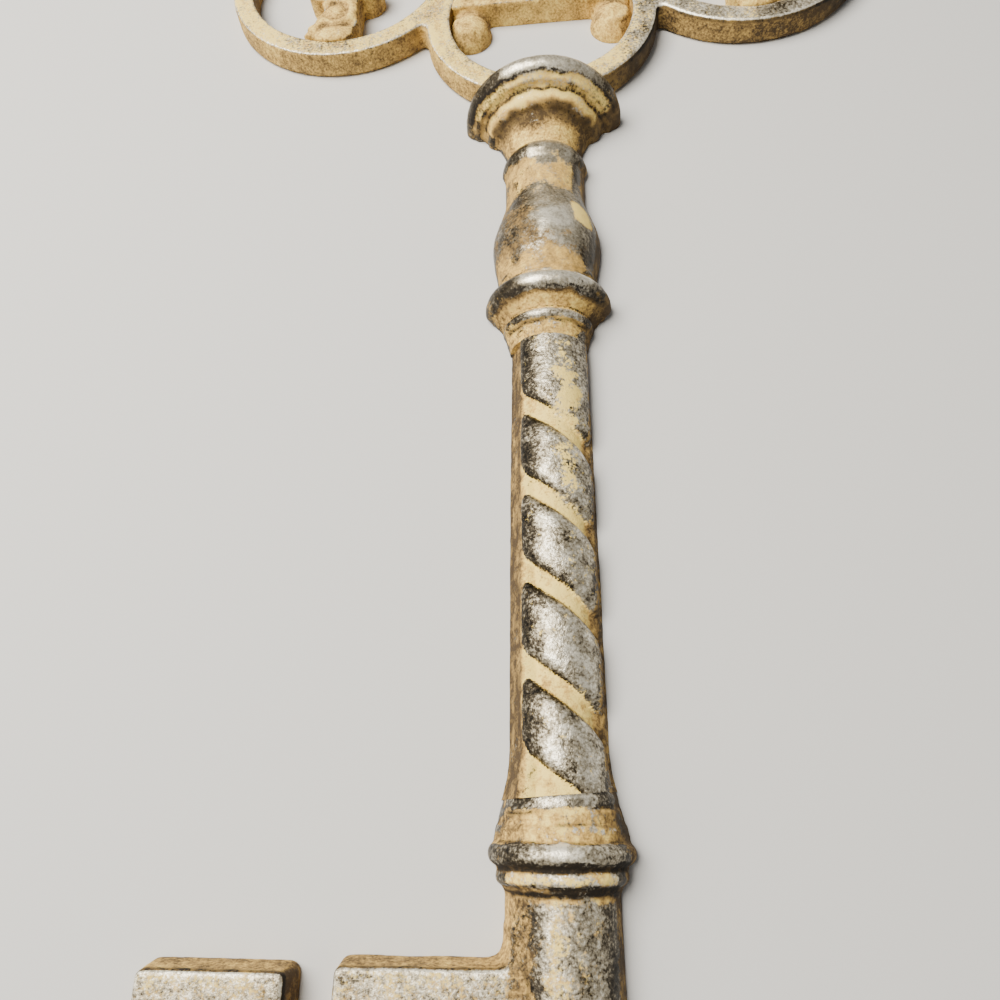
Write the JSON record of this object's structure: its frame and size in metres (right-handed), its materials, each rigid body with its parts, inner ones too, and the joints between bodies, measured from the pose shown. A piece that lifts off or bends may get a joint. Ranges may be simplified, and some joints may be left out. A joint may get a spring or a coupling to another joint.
{
  "type": "decorative skeleton key",
  "caption": "Large flat-backed cast-iron skeleton key with a pierced, lobed scroll bow, turned collars, a rope-twist shank and a slotted bit.",
  "frame": {"origin": "middle of the key's box, on the plane of the flat back", "axes": "+Y along the shank from the bit to the bow, +Z out of the flat back towards the face, bit on the -X side"},
  "size_m": [0.165, 0.3797, 0.0185],
  "materials": {
    "worn_pale_iron": "sand-cast iron with ochre wash, rubbed pale on the faces",
    "ochre_washed_iron": "sand-cast iron under a matt ochre wash",
    "dark_worn_iron": "dark iron rubbed to a dull shine on the high spots, ochre left in the hollows"
  },
  "bodies": {
    "root": {"centre_ring": "worn_pale_iron", "left_lobe_ring": "worn_pale_iron", "right_lobe_ring": "worn_pale_iron", "top_lobe_ring": "worn_pale_iron", "crossbar_plate": "ochre_washed_iron", "crossbar_scrolls": "worn_pale_iron", "palmette": "worn_pale_iron", "left_scroll": "ochre_washed_iron", "left_scroll_relief": "worn_pale_iron", "left_rosette": "worn_pale_iron", "right_scroll": "ochre_washed_iron", "right_scroll_relief": "worn_pale_iron", "right_rosette": "worn_pale_iron", "top_scroll": "ochre_washed_iron", "top_scroll_relief": "worn_pale_iron", "top_rosette": "worn_pale_iron", "cup": "dark_worn_iron", "hollow_cone": "ochre_washed_iron", "neck_ring": "dark_worn_iron", "vase": "dark_worn_iron", "second_collar": "dark_worn_iron", "throat": "ochre_washed_iron", "rope_shank": "dark_worn_iron", "thin_ring": "dark_worn_iron", "lower_collar": "ochre_washed_iron", "lower_shank": "worn_pale_iron", "tip_ring": "dark_worn_iron", "tip_button": "dark_worn_iron", "bit_inner_block": "worn_pale_iron", "bit_upper_tooth": "worn_pale_iron", "bit_lower_tooth": "worn_pale_iron", "bit_web": "ochre_washed_iron"}
  },
  "joints": []
}
